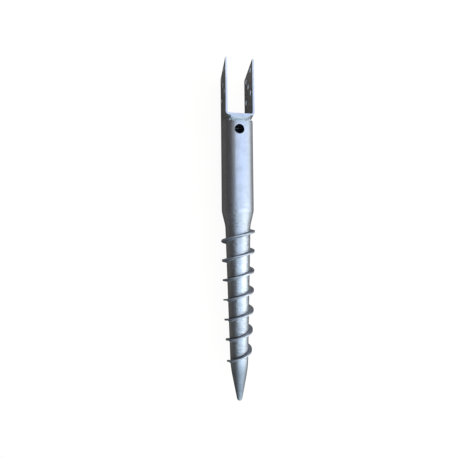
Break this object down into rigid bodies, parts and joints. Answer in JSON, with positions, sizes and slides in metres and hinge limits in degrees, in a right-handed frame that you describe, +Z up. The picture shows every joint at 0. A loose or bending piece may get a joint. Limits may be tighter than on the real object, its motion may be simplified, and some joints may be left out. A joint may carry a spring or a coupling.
{
  "type": "foundation ground screw",
  "caption": "Galvanised steel ground screw: swaged tube with a forged point, a welded helical flight and a bent fork bracket with drilled ears on its head.",
  "frame": {"origin": "under the middle of the screw's box, on the surface it lies on", "axes": "+Y along the screw's axis from the point to the fork, +X across the fork from ear to ear, +Z up, away from the surface it lies on"},
  "size_m": [0.0717, 0.7, 0.084],
  "materials": {
    "galvanised_tube": "hot-dip galvanised, satin",
    "galvanised_flight": "hot-dip galvanised, dull",
    "galvanised_plate": "hot-dip galvanised, satin",
    "galvanised_weld": "galvanised weld bead"
  },
  "bodies": {
    "root": {"swaged_tube": "galvanised_tube", "helical_flight": "galvanised_flight", "fork_bracket": "galvanised_plate", "fork_welds": "galvanised_weld"}
  },
  "joints": []
}
